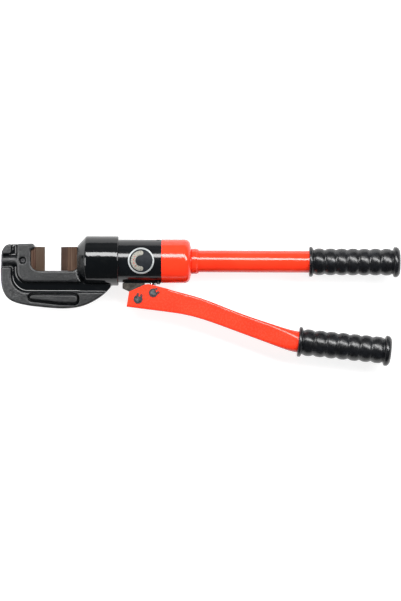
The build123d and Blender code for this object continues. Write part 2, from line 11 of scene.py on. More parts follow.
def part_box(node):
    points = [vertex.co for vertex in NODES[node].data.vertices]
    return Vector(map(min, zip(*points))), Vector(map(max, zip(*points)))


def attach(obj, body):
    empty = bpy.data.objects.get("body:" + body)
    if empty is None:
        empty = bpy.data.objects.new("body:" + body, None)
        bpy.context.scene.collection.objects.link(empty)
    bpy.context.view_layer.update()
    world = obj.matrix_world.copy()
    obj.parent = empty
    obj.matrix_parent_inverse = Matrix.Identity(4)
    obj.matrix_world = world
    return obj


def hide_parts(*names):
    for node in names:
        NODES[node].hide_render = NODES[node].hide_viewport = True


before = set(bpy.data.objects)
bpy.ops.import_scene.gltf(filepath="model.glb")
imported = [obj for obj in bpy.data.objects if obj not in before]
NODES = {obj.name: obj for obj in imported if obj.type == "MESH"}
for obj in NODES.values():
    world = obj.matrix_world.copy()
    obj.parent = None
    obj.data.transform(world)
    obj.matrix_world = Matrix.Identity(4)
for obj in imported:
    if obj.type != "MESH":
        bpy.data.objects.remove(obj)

bl_info = {
    "name": "Hand hydraulic bar cutter",
    "version": (1, 0, 0),
    "blender": (4, 5, 0),
    "location": "3D View > Sidebar > Bar cutter",
    "description": "Finishes, grips, badge and studio for a hand-pumped hydraulic bar cutter",
    "category": "Object",
}

# Everything is in metres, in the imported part's own frame: the tool lies on its flat side,
# +X runs along the cylinder towards the grips and +Z points up out of the flat side.

MM = 0.001
AXIS_Y = (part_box("ram")[0].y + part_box("ram")[1].y) / 2      # axis of the cylinder
AXIS_Z = (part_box("ram")[0].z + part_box("ram")[1].z) / 2
COLLAR_FRONT_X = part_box("ram")[0].x
HEAD_BACK_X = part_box("c_head")[0].x
CAST_END_X = COLLAR_FRONT_X + 0.004    # behind this the head is turned, not cast
CAST_ROUGHNESS = 0.00012               # unevenness of the casting's skin
# Rounded corners of the head's inner band and of its rim: x, y from the axis, corner radius
INNER_BAND = (HEAD_BACK_X + 0.0246, -0.0329, 0.017)
RIM = (HEAD_BACK_X + 0.0166, -0.0474, 0.024)
BAND_MARGIN = 0.0025                   # the soft hollow starts this far inside the inner band
RIM_MARGIN = 0.003                     # and ends this far outside the rim
BADGE_FOIL = 0.0005                    # how far the CAD badge stands above the cylinder
BADGE_STEPS = 96
LEVER_SLOPE = math.radians(-5.6)       # the lever's grip against the cylinder's axis
CAD_FLANGE = 0.0224                    # radius of the CAD grips' end flanges
GRIP_SKIN_RADIUS = 0.017               # only the outside of a grip is uneven
GRIP_WAVE = 0.0003                     # unevenness of the grips' skin
# Grip sizes in mm: front face to first rib, last rib to the end, bore radius on tube and lever
FIRST_RIB = 6.9
REAR_FLANGE = 11.4
TUBE_BORE = 16.6
LEVER_BORE = 15.4
STRIP_TILT = math.radians(25)          # the strip light leans this far from straight above
STRIP_REACH = 1.7                      # its distance from the tool, seen along X
BRIGHT_WALL = (0.45, 0.9, 0.0)         # direction of the brightest wall


# ---------------------------------------------------------------- small helpers

def linear(hex_colour):
    """An sRGB hex colour as linear RGBA."""
    channels = [int(hex_colour[i:i + 2], 16) / 255 for i in (0, 2, 4)]
    return tuple(c / 12.92 if c <= 0.04045 else ((c + 0.055) / 1.055) ** 2.4 for c in channels) + (1.0,)


def per(millimetres):
    """Texture scale whose features are about that size, on Object coordinates in metres."""
    return 1000.0 / millimetres


def add_node(tree, kind, inputs=None, **settings):
    """One node with its settings; inputs maps a socket's name or number to a value or to an output."""
    node = tree.nodes.new(kind)
    for name, value in settings.items():
        setattr(node, name, value)
    for socket, value in (inputs or {}).items():
        if isinstance(value, bpy.types.NodeSocket):
            tree.links.new(value, node.inputs[socket])
        else:
            node.inputs[socket].default_value = value
    return node


def new_material(name, **sockets):
    """A material with one Principled shader; sockets set its inputs, with _ for a space."""
    material = bpy.data.materials.new(name)
    material.use_nodes = True
    tree = material.node_tree
    tree.nodes.clear()
    shader = add_node(tree, "ShaderNodeBsdfPrincipled", {k.replace("_", " "): v for k, v in sockets.items()})
    add_node(tree, "ShaderNodeOutputMaterial", {"Surface": shader.outputs["BSDF"]})
    place = add_node(tree, "ShaderNodeTexCoord").outputs["Object"]
    return material, tree, shader, place


def noise(tree, place, size_mm, detail=3.0, rough=0.55):
    """Noise whose lumps are about size_mm across, from 0 to 1."""
    texture = add_node(tree, "ShaderNodeTexNoise", {
        "Vector": place, "Scale": per(size_mm), "Detail": detail, "Roughness": rough})
    return texture.outputs["Fac"]


def spread(tree, value, low, high, out_low=0.0, out_high=1.0):
    """Maps low..high of value onto out_low..out_high, clamped."""
    node = add_node(tree, "ShaderNodeMapRange", {
        "Value": value, "From Min": low, "From Max": high, "To Min": out_low, "To Max": out_high})
    return node.outputs["Result"]


def height_above_axis(tree, place, low, high, out_low, out_high):
    """Maps the height above or below the cylinder's axis, low..high in metres, onto out_low..out_high."""
    up = add_node(tree, "ShaderNodeSeparateXYZ", {0: place}).outputs["Z"]
    lift = add_node(tree, "ShaderNodeMath", {0: up, 1: AXIS_Z}, operation="SUBTRACT").outputs[0]
    lift = add_node(tree, "ShaderNodeMath", {0: lift}, operation="ABSOLUTE").outputs[0]
    return spread(tree, lift, low, high, out_low, out_high)


def blend_colour(tree, share, first, second):
    """first where share is 0, second where it is 1."""
    mix = add_node(tree, "ShaderNodeMix", {"Factor": share}, data_type="RGBA")
    for socket, value in ((mix.inputs[6], first), (mix.inputs[7], second)):
        if isinstance(value, bpy.types.NodeSocket):
            tree.links.new(value, socket)
        else:
            socket.default_value = value
    return mix.outputs[2]


def relief(tree, shader, heights):
    """Bumps stacked on the shader's normal; heights holds (output, depth in mm)."""
    normal = None
    for height, depth_mm in heights:
        inputs = {"Height": height, "Distance": depth_mm * MM, "Strength": 1.0}
        if normal is not None:
            inputs["Normal"] = normal
        normal = add_node(tree, "ShaderNodeBump", inputs).outputs["Normal"]
    tree.links.new(normal, shader.inputs["Normal"])


# ---------------------------------------------------------------- finishes

def black_enamel_on_casting(colour):
    """Gloss enamel on sand-cast steel. It pools smooth in the hollows and runs thin over the
    raised bands, where the sand grain breaks up the highlights."""
    material, tree, shader, place = new_material("black_enamel_on_casting", IOR=1.5)
    lumps = noise(tree, place, 8.0, detail=2.0)
    grain = noise(tree, place, 2.4, detail=4.0, rough=0.65)      # sand grain is 0.3 mm; drawn coarser to show
    worn = spread(tree, noise(tree, place, 14.0, detail=5.0, rough=0.7), 0.55, 0.75)
    # the raised bands: high on either flat side, and either in front of the collar or on the rim
    axes = add_node(tree, "ShaderNodeSeparateXYZ", {0: place})
    raised = height_above_axis(tree, place, 0.0125, 0.0155, 0.0, 1.0)
    jaw = spread(tree, axes.outputs["X"], COLLAR_FRONT_X, COLLAR_FRONT_X + 0.008, 1.0, 0.0)
    rim = spread(tree, axes.outputs["Y"], AXIS_Y - 0.043, AXIS_Y - 0.040, 1.0, 0.0)
    band = add_node(tree, "ShaderNodeMath", {0: jaw, 1: rim}, operation="MAXIMUM").outputs[0]
    rubbed = add_node(tree, "ShaderNodeMath", {0: raised, 1: band}, operation="MULTIPLY").outputs[0]
    # grey specks on the raised bands, drawn coarser than the sand grain's 0.3 mm: partly the grain rubbed
    # through, partly painted glints of the light on the grain
    worn_specks_and_glints = spread(tree, noise(tree, place, 2.2, detail=5.0, rough=0.75), 0.52, 0.66)
    worn_specks_and_glints = add_node(tree, "ShaderNodeMath", {0: worn_specks_and_glints, 1: rubbed}, operation="MULTIPLY").outputs[0]
    skin = blend_colour(tree, worn, colour, linear("101112"))
    tree.links.new(blend_colour(tree, worn_specks_and_glints, skin, linear("303132")), shader.inputs["Base Color"])
    gloss = spread(tree, grain, 0.3, 0.7, 0.07, 0.12)
    satin = spread(tree, grain, 0.3, 0.7, 0.28, 0.46)
    tree.links.new(add_node(tree, "ShaderNodeMix", {0: rubbed, 2: gloss, 3: satin}).outputs[0],
                   shader.inputs["Roughness"])
    # the grain shows on the bands and is drowned in enamel in the hollows
    share = spread(tree, rubbed, 0.0, 1.0, 0.06, 1.0)
    drowned = add_node(tree, "ShaderNodeMath", {0: grain, 1: share}, operation="MULTIPLY").outputs[0]
    relief(tree, shader, [(lumps, 0.10), (drowned, 0.42)])
    return material


def black_enamel_on_turned_steel(colour):
    """Gloss enamel on a turned bar: nearly even, with a slight orange peel."""
    material, tree, shader, place = new_material("black_enamel_on_turned_steel", IOR=1.5)
    peel = noise(tree, place, 3.0, detail=2.0)
    cloud = noise(tree, place, 30.0, detail=3.0)
    tree.links.new(blend_colour(tree, cloud, colour, linear("0E1114")), shader.inputs["Base Color"])
    tree.links.new(spread(tree, cloud, 0.3, 0.7, 0.12, 0.17), shader.inputs["Roughness"])
    relief(tree, shader, [(peel, 0.05)])
    return material


def red_enamel(name, colour, deep, peel_depth, roughness):
    """Stove enamel on steel: a wet look with fine orange peel."""
    material, tree, shader, place = new_material(name, IOR=1.5)
    peel = noise(tree, place, 3.4, detail=2.0, rough=0.5)
    cloud = noise(tree, place, 45.0, detail=3.0)
    tree.links.new(blend_colour(tree, spread(tree, cloud, 0.35, 0.65), colour, deep),
                   shader.inputs["Base Color"])
    tree.links.new(spread(tree, peel, 0.3, 0.7, roughness, roughness + 0.06), shader.inputs["Roughness"])
    relief(tree, shader, [(peel, peel_depth), (noise(tree, place, 12.0, detail=1.0), peel_depth)])
    return material


# Blade steels: two temper tones of the flats, the grinding streaks on them, and the bevel's painted light:
# paler on the fixed blade (ground steel and a painted highlight), darker on the moving blade (painted shade)
BLADES = {
    "fixed_blade_steel": ("5B473C", "3E2C25", "705F53", "8F7C6D"),
    "moving_blade_steel": ("584539", "3C2B24", "6C5D51", "54413A"),
}


def tempered_blade_steel(name):
    """Tool steel drawn to a bronze temper colour, ground along the edge: brown with paler
    grinding streaks. The two blades have slightly different tones, and the bevel's tone is painted light:
    paler on the fixed blade, partly ground steel and partly a painted highlight, darker on the moving blade
    as painted shade."""
    flat, other_flat, streak, bevel_painted_light = (linear(tone) for tone in BLADES[name])
    material, tree, shader, place = new_material(name, Metallic=1.0)
    along = add_node(tree, "ShaderNodeMapping", {"Vector": place, "Scale": (1.0, 0.02, 1.0)})
    along = along.outputs["Vector"]
    streaks = noise(tree, along, 1.8, detail=4.0, rough=0.7)
    bands = noise(tree, along, 7.0, detail=2.0)
    tint = blend_colour(tree, spread(tree, bands, 0.35, 0.65), flat, other_flat)
    # the bevel band is painted: a painted highlight on the fixed blade, partly its ground steel, and painted
    # shade on the moving blade
    tint = blend_colour(tree, height_above_axis(tree, place, 0.0141, 0.0143, 1.0, 0.0), tint, bevel_painted_light)
    tree.links.new(blend_colour(tree, spread(tree, streaks, 0.45, 0.75, 0.0, 0.7), tint, streak),
                   shader.inputs["Base Color"])
    tree.links.new(spread(tree, streaks, 0.3, 0.7, 0.34, 0.52), shader.inputs["Roughness"])
    relief(tree, shader, [(streaks, 0.03)])
    return material


def blackened_steel():
    """Steel with black oxide: dark grey, oily, with grey rub marks."""
    material, tree, shader, place = new_material("blackened_steel", Metallic=1.0)
    rub = spread(tree, noise(tree, place, 4.0, detail=5.0, rough=0.7), 0.5, 0.72)
    tree.links.new(blend_colour(tree, rub, linear("2A2D31"), linear("55585A")), shader.inputs["Base Color"])
    tree.links.new(spread(tree, rub, 0.0, 1.0, 0.42, 0.3), shader.inputs["Roughness"])
    relief(tree, shader, [(noise(tree, place, 1.5, detail=3.0), 0.02)])
    return material


def bare_cast_steel():
    """Unpainted casting with a thin brown-grey scale."""
    material, tree, shader, place = new_material("bare_cast_steel", Metallic=0.7)
    scale = noise(tree, place, 6.0, detail=5.0, rough=0.7)
    tree.links.new(blend_colour(tree, spread(tree, scale, 0.35, 0.65), linear("24211E"), linear("45413C")),
                   shader.inputs["Base Color"])
    tree.links.new(spread(tree, scale, 0.3, 0.7, 0.42, 0.6), shader.inputs["Roughness"])
    relief(tree, shader, [(scale, 0.2), (noise(tree, place, 2.0, detail=3.0), 0.08)])
    return material


def moulded_rubber(colour):
    """Black rubber from a blasted mould: satin, slightly wavy, greyer where hands rub it."""
    material, tree, shader, place = new_material("moulded_rubber", IOR=1.52)
    sweat = spread(tree, noise(tree, place, 16.0, detail=4.0), 0.45, 0.7)
    skin = noise(tree, place, 4.5, detail=4.0, rough=0.6)
    tree.links.new(blend_colour(tree, sweat, colour, linear("14161A")), shader.inputs["Base Color"])
    tree.links.new(spread(tree, skin, 0.3, 0.7, 0.24, 0.34), shader.inputs["Roughness"])
    relief(tree, shader, [(skin, 0.2)])
    return material


# Finishes that show little: name, kind of metal or not, two tones, roughness range, grain in mm, depth in mm
PLAIN_FINISHES = {
    # hard chrome, polished round: mirror with faint turning marks
    "hard_chrome_plate": (1.0, "C8CBCE", "B0B4B8", 0.10, 0.18, 3.0, 0.004),
    # nitrile rubber, pressed: dull black
    "nitrile_rubber": (0.0, "17181A", "212225", 0.55, 0.68, 2.0, 0.03),
    # nylon, turned: milky off-white, a little waxy
    "turned_nylon": (0.0, "D8D2C2", "C6BFAC", 0.40, 0.5, 2.5, 0.02),
    # black nylon, moulded: satin black with flow marks
    "moulded_nylon": (0.0, "1C1D1F", "2A2B2E", 0.42, 0.55, 4.0, 0.04),
    # tin bronze, turned: yellow-brown with dull patches
    "turned_bronze": (1.0, "B08A4E", "8E6A3A", 0.28, 0.42, 3.0, 0.01),
    # spring steel, drawn wire: grey with dark drawing marks
    "drawn_spring_steel": (1.0, "8E9194", "6A6D70", 0.25, 0.38, 2.0, 0.01),
    # pin steel, black oxide rubbed through at the ends: dark and light grey patches
    "worn_pin_steel": (1.0, "3A3D40", "6E7073", 0.35, 0.5, 1.6, 0.03),
    # brass, turned: yellow with tarnish
    "turned_brass": (1.0, "C9A24F", "A37E37", 0.24, 0.38, 3.0, 0.01),
    # aluminium foil, embossed: soft silver with rub marks
    "bright_foil": (0.25, "A9ADAD", "989C9C", 0.5, 0.62, 2.5, 0.02),
    # ball bearing steel, lapped: bright with faint grey bloom
    "lapped_ball_steel": (1.0, "D2D4D6", "B7BABD", 0.06, 0.12, 2.0, 0.002),
}


def plain_finish(name):
    """One of the finishes that show little: two cloudy tones and a fine grain."""
    metallic, tone, other_tone, smooth, rough, grain_mm, depth_mm = PLAIN_FINISHES[name]
    material, tree, shader, place = new_material(name, Metallic=metallic)
    grain = noise(tree, place, grain_mm, detail=3.0)
    cloud = spread(tree, noise(tree, place, 4 * grain_mm, detail=4.0), 0.4, 0.65)
    tree.links.new(blend_colour(tree, cloud, linear(tone), linear(other_tone)), shader.inputs["Base Color"])
    tree.links.new(spread(tree, grain, 0.3, 0.7, smooth, rough), shader.inputs["Roughness"])
    relief(tree, shader, [(grain, depth_mm)])
    return material


# Screen inks on the badge: matt, with a slight unevenness; two tones each
INKS = {
    "dark_ink": ("1F2227", "1A1D21"),
    "pale_ink": ("918F87", "828078"),
    "red_ink": ("B52420", "A02020"),
}


def screen_ink(name):
    """Ink on foil: matt, as its porous skin reflects little."""
    material, tree, shader, place = new_material(name, IOR=1.22, Roughness=0.55)
    cloud = spread(tree, noise(tree, place, 5.0, detail=4.0), 0.35, 0.65)
    first, second = (linear(tone) for tone in INKS[name])
    tree.links.new(blend_colour(tree, cloud, first, second), shader.inputs["Base Color"])
    relief(tree, shader, [(noise(tree, place, 2.0), 0.01)])
    return material


def get_finish(name):
    """The named finish, made on first use."""
    if name in bpy.data.materials:
        return bpy.data.materials[name]
    paint = bpy.context.scene.bar_cutter_paint
    if name == "black_enamel_on_casting":
        return black_enamel_on_casting(tuple(paint.black))
    if name == "black_enamel_on_turned_steel":
        return black_enamel_on_turned_steel(tuple(paint.black))
    if name == "red_enamel_on_steel":
        return red_enamel(name, tuple(paint.red), tuple(paint.red_deep), 0.03, 0.10)
    if name == "red_enamel_on_sheet":
        return red_enamel(name, tuple(paint.red), tuple(paint.red_deep), 0.006, 0.24)
    if name == "moulded_rubber":
        return moulded_rubber(tuple(paint.rubber))
    if name in BLADES:
        return tempered_blade_steel(name)
    if name == "blackened_steel":
        return blackened_steel()
    if name == "bare_cast_steel":
        return bare_cast_steel()
    if name in INKS:
        return screen_ink(name)
    return plain_finish(name)


def dress(finish, *names):
    """Gives CAD nodes a finish."""
    material = get_finish(finish)
    for name in names:
        for slot in NODES[name].material_slots:
            slot.material = material


# ---------------------------------------------------------------- shared piece tools

def finish_piece(name, mesh_tool, finish, body, smooth=True):
    """Turns a bmesh into a placed piece with its finish, riding on a body."""
    mesh = bpy.data.meshes.new(name)
    for face in mesh_tool.faces:
        face.smooth = smooth
    mesh_tool.to_mesh(mesh)
    mesh_tool.free()
    piece = bpy.data.objects.new(name, mesh)
    bpy.context.scene.collection.objects.link(piece)
    mesh.materials.append(get_finish(finish))
    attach(piece, body)
    return piece


def chain(mesh_tool, points, closed=False):
    """Vertices at the points, joined by edges in order."""
    verts = [mesh_tool.verts.new(p) for p in points]
    edges = [mesh_tool.edges.new(pair) for pair in zip(verts, verts[1:])]
    if closed:
        edges.append(mesh_tool.edges.new((verts[-1], verts[0])))
    return verts + edges


def spin_whole(mesh_tool, geometry, axis, steps):
    """A full turn of the outline about an axis through the origin, closed and facing outwards."""
    bmesh.ops.spin(mesh_tool, geom=geometry, cent=(0, 0, 0), axis=axis, dvec=(0, 0, 0),
                   angle=2 * math.pi, steps=steps, use_merge=True, use_duplicate=False)
    bmesh.ops.remove_doubles(mesh_tool, verts=mesh_tool.verts, dist=1e-6)
    bmesh.ops.recalc_face_normals(mesh_tool, faces=mesh_tool.faces)


# ---------------------------------------------------------------- settings a user would change

class BarCutterPaint(PropertyGroup):
    """Colours of the tool."""
    red: FloatVectorProperty(name="Red enamel", description="Enamel on housing, tube and lever",
                             size=4, min=0, max=1, subtype="COLOR", default=linear("F23A20"))
    red_deep: FloatVectorProperty(name="Deep red", description="Where the red enamel is thicker",
                                  size=4, min=0, max=1, subtype="COLOR", default=linear("EC331B"))
    black: FloatVectorProperty(name="Black enamel", description="Enamel on head and cylinder",
                               size=4, min=0, max=1, subtype="COLOR", default=linear("07090B"))
    rubber: FloatVectorProperty(name="Grip rubber", description="Moulded rubber of both grips",
                                size=4, min=0, max=1, subtype="COLOR", default=linear("0A0B0E"))


class BarCutterSizes(PropertyGroup):
    """Sizes of the modelled pieces."""
    ribs: IntProperty(name="Grip ribs", description="Round ribs on each grip", default=7, min=3, max=12)
    voxel: FloatProperty(name="Casting detail", description="Mesh size of the cast head",
                         default=0.001, min=0.0008, max=0.004, precision=4, unit="LENGTH")


class BarCutterStudio(PropertyGroup):
    """Camera and lights."""
    distance: FloatProperty(name="Camera distance", description="Camera above the middle of the tool",
                            default=3.5, min=0.5, unit="LENGTH")
    field: FloatProperty(name="Field", description="Long side of the picture, at the middle of the tool",
                         default=0.9045, min=0.1, unit="LENGTH")
    roll: FloatProperty(name="Roll", description="Turn of the camera about its own axis",
                        default=math.radians(0.25), subtype="ANGLE")
    key: FloatProperty(name="Strip light", description="Radiance of the long strip light",
                       default=16.0, min=0)
    fill: FloatProperty(name="Fill light", description="Radiance of the large soft box",
                        default=0.14, min=0)
    side: FloatProperty(name="Side light", description="Radiance of the box over the head's side",
                        default=5.5, min=0)
    horizon: FloatProperty(name="Walls", description="Radiance of the studio's walls", default=0.28, min=0)
    overhead: FloatProperty(name="Ceiling", description="Radiance of the ceiling", default=0.06, min=0)


# ---------------------------------------------------------------- pieces

def outside_corner(x, y, corner_x, corner_y, radius):
    """How far (x, y) lies outside the region above and right of a rounded corner; negative inside."""
    left, below = corner_x + radius - x, corner_y + radius - y
    if left > 0 and below > 0:
        return math.hypot(left, below) - radius
    return max(left, below) - radius


def soften(mesh_tool, verts, passes):
    """Draws the vertices towards their neighbours, that many times."""
    for _ in range(passes):
        bmesh.ops.smooth_vert(mesh_tool, verts=verts, factor=0.5,
                              use_axis_x=True, use_axis_y=True, use_axis_z=True)


def cast_head(voxel):
    """The head's own mesh, remeshed and softened as a sand casting is: round rims, a soft hollow
    between the bands and a slightly uneven skin."""
    source = NODES["c_head"].data.copy()
    tool = bmesh.new()
    tool.from_mesh(source)
    bmesh.ops.remove_doubles(tool, verts=tool.verts, dist=1e-5)
    tool.to_mesh(source)
    tool.free()
    blank = bpy.data.objects.new("head_blank", source)
    bpy.context.scene.collection.objects.link(blank)
    remesh = blank.modifiers.new("voxels", "REMESH")
    remesh.mode = "VOXEL"
    remesh.voxel_size = voxel
    mesh = bpy.data.meshes.new_from_object(blank.evaluated_get(bpy.context.evaluated_depsgraph_get()))
    bpy.data.objects.remove(blank)
    tool = bmesh.new()
    tool.from_mesh(mesh)
    tool.verts.ensure_lookup_table()
    hollow, cast = [], []
    for vert in tool.verts:
        x, y = vert.co.x, vert.co.y - AXIS_Y
        if x < CAST_END_X:
            cast.append(vert)
            from_band = outside_corner(x, y, INNER_BAND[0], INNER_BAND[1], INNER_BAND[2])
            from_rim = outside_corner(x, y, RIM[0], RIM[1], RIM[2])
            if from_band > -BAND_MARGIN and from_rim < RIM_MARGIN:
                hollow.append(vert)
    soften(tool, tool.verts, 2)      # voxel steps
    soften(tool, cast, 3)            # rounder edges
    soften(tool, hollow, 9)          # a trough without corners
    for vert in cast:
        swell = mathnoise.noise(vert.co * per(7.0)) + 0.5 * mathnoise.noise(vert.co * per(3.0))
        vert.co += vert.normal * (swell - 0.7) * CAST_ROUGHNESS
    return tool


class BARCUTTER_OT_head(Operator):
    """Cast C-shaped head with its screws"""
    bl_idname = "barcutter.head"
    bl_label = "Cutting head"

    def execute(self, context):
        tool = cast_head(context.scene.bar_cutter_sizes.voxel)
        head = finish_piece("cast_head", tool, "black_enamel_on_casting", "frame")
        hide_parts("c_head")
        dress("blackened_steel", "fixed_blade_screw", "blade_lock_screw", "head_lock_screw")
        return {"FINISHED"}


class BARCUTTER_OT_blades(Operator):
    """Both wedge blades and the moving blade's screw"""
    bl_idname = "barcutter.blades"
    bl_label = "Blades"

    def execute(self, context):
        dress("fixed_blade_steel", "fixed_blade")
        dress("moving_blade_steel", "moving_blade")
        dress("blackened_steel", "moving_blade_screw")
        return {"FINISHED"}


class BARCUTTER_OT_cylinder(Operator):
    """Cylinder with its ram, seals and return spring"""
    bl_idname = "barcutter.cylinder"
    bl_label = "Cylinder and ram"

    def execute(self, context):
        dress("black_enamel_on_turned_steel", "cylinder_body")
        dress("hard_chrome_plate", "ram")
        dress("nitrile_rubber", "piston_seal", "ram_wiper", "body_o_ring")
        dress("turned_nylon", "piston_backup_ring")
        dress("turned_bronze", "ram_bush")
        dress("drawn_spring_steel", "return_spring")
        return {"FINISHED"}


def lay_on_cylinder(mesh_tool):
    """Moves a flat mesh onto the cylinder's crown, under the badge's middle."""
    lo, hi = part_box("badge")
    radius = hi.z - AXIS_Z - BADGE_FOIL
    for vert in mesh_tool.verts:
        vert.co.z += AXIS_Z + math.sqrt(radius ** 2 - vert.co.y ** 2)
        vert.co.x += (lo.x + hi.x) / 2
        vert.co.y += AXIS_Y


def foil_disc(outline):
    """A turned flat piece of the badge; outline holds (radius, height) in mm."""
    tool = bmesh.new()
    closed = outline[0][0] > 0
    spin_whole(tool, chain(tool, [(r * MM, 0, z * MM) for r, z in outline], closed), (0, 0, 1),
               BADGE_STEPS)
    lay_on_cylinder(tool)
    return tool


def arc_band(tool, inner, outer, height, start, sweep, steps, round_ends=False):
    """A flat band along an arc about the origin, in mm and degrees."""
    turn = Matrix.Rotation(math.radians(start), 4, "Z")
    radii = [inner + (outer - inner) * i / 4 for i in range(5)]
    line = chain(tool, [turn @ Vector((r * MM, 0, height * MM)) for r in radii])
    bmesh.ops.spin(tool, geom=line, cent=(0, 0, 0), axis=(0, 0, 1), dvec=(0, 0, 0),
                   angle=math.radians(sweep), steps=steps, use_merge=False, use_duplicate=False)
    if round_ends:
        middle = (inner + outer) / 2
        for angle, way in ((start, -1), (start + sweep, 1)):
            turn = Matrix.Rotation(math.radians(angle), 4, "Z")
            centre = turn @ Vector((middle * MM, 0, height * MM))
            half = [turn @ Vector((r * MM, 0, height * MM)) for r in radii[2:]]
            bmesh.ops.spin(tool, geom=chain(tool, half), cent=centre, axis=(0, 0, 1), dvec=(0, 0, 0),
                           angle=way * math.pi, steps=12, use_merge=False, use_duplicate=False)


def printed(name, finish, arcs, height, thick, round_ends=False):
    """Printed arcs on the badge; arcs holds (inner, outer, start, sweep, steps)."""
    tool = bmesh.new()
    for inner, outer, start, sweep, steps in arcs:
        arc_band(tool, inner, outer, height, start, sweep, steps, round_ends)
    bmesh.ops.remove_doubles(tool, verts=tool.verts, dist=2e-6)
    bmesh.ops.recalc_face_normals(tool, faces=tool.faces)
    if tool.faces[:][0].normal.z < 0:
        bmesh.ops.reverse_faces(tool, faces=tool.faces)
    top = bmesh.ops.extrude_face_region(tool, geom=list(tool.faces))
    moved = [item for item in top["geom"] if isinstance(item, bmesh.types.BMVert)]
    bmesh.ops.translate(tool, verts=moved, vec=(0, 0, thick * MM))
    bmesh.ops.recalc_face_normals(tool, faces=tool.faces)
    lay_on_cylinder(tool)
    return finish_piece(name, tool, finish, "frame", smooth=False)


class BARCUTTER_OT_badge(Operator):
    """Round foil badge on the cylinder: bright rim, dark field and a C-shaped graduated scale"""
    bl_idname = "barcutter.badge"
    bl_label = "Badge"

    def execute(self, context):
        rim = foil_disc([(17.3, 0.0), (17.3, 0.36), (17.5, 0.44), (19.3, 0.44), (19.6, 0.3), (19.6, 0.0)])
        rim = finish_piece("badge_rim", rim, "bright_foil", "frame")
        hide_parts("badge")
        field = foil_disc([(0.0, 0.28)] + [(r, 0.28) for r in (3, 6, 9, 12, 15, 17.4)]
                          + [(17.4, 0.02)] + [(r, 0.02) for r in (15, 12, 9, 6, 3)] + [(0.0, 0.02)])
        finish_piece("badge_field", field, "dark_ink", "frame", smooth=False)
        printed("badge_scale", "pale_ink", [(8.4, 15.1, 90.0, 180.0, 48)], 0.25, 0.10, True)
        # outer ticks, every third one longer, and short inner ones
        ticks = [(13.2 if i % 3 else 12.2, 14.7, 94 + 14.3 * i, 2.0, 1) for i in range(13)]
        ticks += [(8.9, 9.8, 98 + 20.5 * i, 5.0, 1) for i in range(9)]
        printed("badge_ticks", "dark_ink", ticks, 0.33, 0.05)
        reds = [(10.6, 11.6, 140 + 26 * i, 12.0, 3) for i in range(4)]
        printed("badge_red_marks", "red_ink", reds, 0.33, 0.05)
        return {"FINISHED"}


class BARCUTTER_OT_handle(Operator):
    """Red housing, lock ring, handle tube and the oil bag inside"""
    bl_idname = "barcutter.handle"
    bl_label = "Housing and handle tube"

    def execute(self, context):
        dress("red_enamel_on_steel", "rear_housing", "lock_ring", "handle_tube")
        dress("moulded_nylon", "tube_end_plug")
        dress("nitrile_rubber", "oil_bladder")
        dress("turned_brass", "bladder_nipple", "oil_strainer")
        dress("drawn_spring_steel", "bladder_clamp")
        return {"FINISHED"}


def ribbed_sleeve(length, ribs, first, pitch, bore):
    """Outline of a ribbed sleeve as (x, radius) in mm, closed at its far end."""
    valley, crest, flange = 18.2, 20.3, 22.8
    # front flange
    outline = [(0.3, bore + 0.05), (0.0, bore + 1.2), (0.0, flange - 1.6), (0.5, flange - 0.3),
               (2.0, flange + 0.1), (4.0, flange), (5.4, flange - 1.0), (first - 0.5, valley + 0.9)]
    # ribs, each with a narrow valley before it
    for i in range(ribs):
        x = first + i * pitch
        outline += [(x, valley - 0.3), (x + 0.10 * pitch, valley + 0.75), (x + 0.28 * pitch, crest - 0.05),
                    (x + 0.5 * pitch, crest + 0.12), (x + 0.72 * pitch, crest - 0.05),
                    (x + 0.90 * pitch, valley + 0.75)]
    # rear flange and the closed end
    last = first + ribs * pitch
    outline += [(last, valley - 0.3), (last + 0.9, valley + 0.6), (last + 1.8, flange - 0.6),
                (last + 3.2, flange + 0.5), (last + 6.4, flange + 0.6), (last + 8.8, flange - 1.0),
                (length - 1.4, 20.0), (length - 0.3, 18.4), (length, 15.6), (length, 9.0), (length, 0.0)]
    return outline


def rubber_grip(name, node, body, slope, ribs, bore):
    """Moulded sleeve along the node's axis, its skin a little wavy."""
    lo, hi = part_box(node)
    length = ((hi.x - lo.x) - 2 * CAD_FLANGE * abs(math.sin(slope))) / math.cos(slope)
    pitch = (length / MM - FIRST_RIB - REAR_FLANGE) / ribs
    tool = bmesh.new()
    outline = ribbed_sleeve(length / MM, ribs, FIRST_RIB, pitch, bore)
    spin_whole(tool, chain(tool, [(x * MM, 0, r * MM) for x, r in outline]), (1, 0, 0), 72)
    for vert in tool.verts:
        radial = Vector((0, vert.co.y, vert.co.z))
        if radial.length > GRIP_SKIN_RADIUS:
            wave = mathnoise.noise(vert.co * per(9.0)) - 0.5
            vert.co += radial.normalized() * wave * GRIP_WAVE
    centred = Matrix.Translation((-length / 2, 0, 0))
    place = Matrix.Translation((lo + hi) / 2) @ Matrix.Rotation(slope, 4, "Z") @ centred
    bmesh.ops.transform(tool, matrix=place, verts=tool.verts)
    piece = finish_piece(name, tool, "moulded_rubber", body)
    smooth = piece.modifiers.new("smooth", "SUBSURF")
    smooth.levels = smooth.render_levels = 2
    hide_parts(node)


class BARCUTTER_OT_grips(Operator):
    """Ribbed rubber grips on the handle tube and the lever"""
    bl_idname = "barcutter.grips"
    bl_label = "Grips"

    def execute(self, context):
        ribs = context.scene.bar_cutter_sizes.ribs
        rubber_grip("handle_sleeve", "handle_grip", "frame", 0.0, ribs, TUBE_BORE)
        rubber_grip("lever_sleeve", "lever_grip", "lever", LEVER_SLOPE, ribs, LEVER_BORE)
        return {"FINISHED"}


class BARCUTTER_OT_lever(Operator):
    """Pressed lever with its two pins and retaining rings"""
    bl_idname = "barcutter.lever"
    bl_label = "Lever"

    def execute(self, context):
        dress("red_enamel_on_sheet", "lever")
        dress("worn_pin_steel", "fulcrum_pin", "plunger_pin")
        dress("blackened_steel", "retaining_rings")
        return {"FINISHED"}


